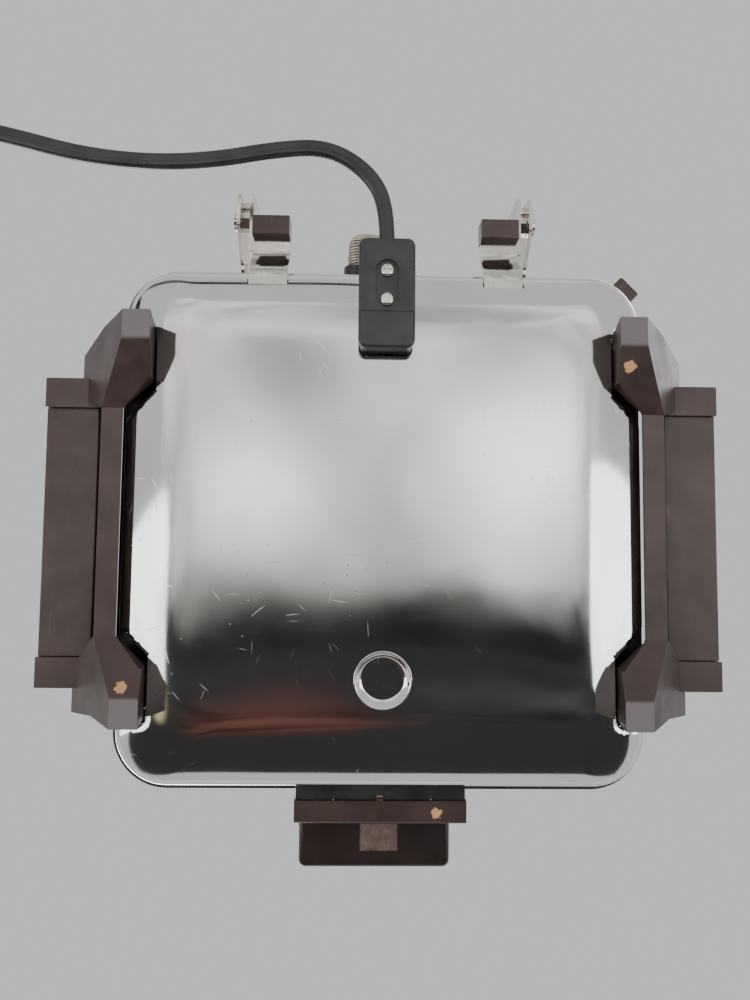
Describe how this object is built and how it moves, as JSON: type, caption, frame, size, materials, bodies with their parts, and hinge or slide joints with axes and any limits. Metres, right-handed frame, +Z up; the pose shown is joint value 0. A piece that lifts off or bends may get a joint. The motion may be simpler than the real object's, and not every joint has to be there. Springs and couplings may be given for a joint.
{
  "type": "waffle maker",
  "caption": "Square electric waffle maker with chromed shells, cast grids, floating hinges, phenolic handles with feet, a browning lever and a mains cord.",
  "frame": {"origin": "on the table under the middle of the object's box, without the free cord", "axes": "+Z up, +Y to the rear where the hinges are, +X to the right of a user at the front"},
  "size_m": [0.477, 0.3895, 0.1006],
  "materials": {
    "chrome_shell": "polished chromed sheet, worn",
    "cast_grid": "seasoned dark cast aluminium",
    "bright_tray": "bright sheet",
    "plated_steel": "nickel plated",
    "ceramic": "fired ceramic",
    "heater_sheath": "oxidised sheath",
    "brown_phenolic": "moulded, semi-gloss",
    "dark_phenolic": "moulded, semi-gloss",
    "black_plastic": "moulded, satin",
    "cord_jacket": "smooth jacket",
    "brass_blades": "stamped",
    "spring_wire": "drawn wire",
    "lamp_lens": "tinted lens",
    "lamp_glass": "small neon lamp"
  },
  "bodies": {
    "base": {"base_shell": "chrome_shell", "base_grid": "cast_grid", "base_terminal_block": "ceramic", "base_reflector_posts": "plated_steel", "base_reflector": "bright_tray", "base_insulators": "ceramic", "base_heating_element": "heater_sheath", "side_handle_right": "brown_phenolic", "side_handle_left": "brown_phenolic", "grip_panel_right": "brown_phenolic", "grip_panel_left": "brown_phenolic", "side_handle_spacers": "black_plastic", "side_handle_screws": "plated_steel", "base_front_spacer": "black_plastic", "base_front_bar": "brown_phenolic", "base_front_screws": "plated_steel", "terminal_housing": "black_plastic", "terminal_cover": "black_plastic", "terminal_cover_screws": "plated_steel", "power_cord": "cord_jacket", "cord_coil": "cord_jacket", "cord_tail": "cord_jacket", "power_plug": "cord_jacket", "plug_blades": "brass_blades", "hinge_bracket_right": "plated_steel", "hinge_bracket_left": "plated_steel", "hinge_bumpers": "brown_phenolic", "base_conduit_grommet": "black_plastic"},
    "hinge_pins": {"hinge_pins": "plated_steel", "conduit_spring": "spring_wire"},
    "lid": {"browning_lever_clip": "plated_steel", "lid_arm_rivets": "plated_steel", "lid_conduit_grommet": "black_plastic", "lid_front_handle": "dark_phenolic", "lid_grid": "cast_grid", "lid_handle_cap": "dark_phenolic", "lid_handle_screws": "plated_steel", "lid_handle_spacer": "black_plastic", "lid_heating_element": "heater_sheath", "lid_hinge_arm_left": "plated_steel", "lid_hinge_arm_right": "plated_steel", "lid_insulators": "ceramic", "lid_reflector": "bright_tray", "lid_reflector_posts": "plated_steel", "lid_shell": "chrome_shell", "lid_stop_rivets": "plated_steel", "lid_terminal_block": "ceramic", "signal_lamp": "lamp_glass", "signal_lamp_lens": "lamp_lens", "thermostat_body": "black_plastic"},
    "browning_lever": {"browning_lever": "plated_steel", "browning_lever_knob": "brown_phenolic"}
  },
  "joints": [
    {"name": "expansion_float", "type": "slide", "parent": "base", "child": "hinge_pins", "axis": [0, 0, 1], "range_m": [0, 0.008], "deforming": ["conduit_spring"]},
    {"name": "lid_swing", "type": "hinge", "parent": "hinge_pins", "child": "lid", "pos_m": [0, 0.1715, 0.052], "axis": [-1, 0, 0], "range_deg": [0, 100], "deforming": ["conduit_spring"]},
    {"name": "browning_swing", "type": "hinge", "parent": "lid", "child": "browning_lever", "pos_m": [-0.114, 0.1135, 0.077], "axis": [0, 0, 1], "range_deg": [-20, 20]}
  ]
}
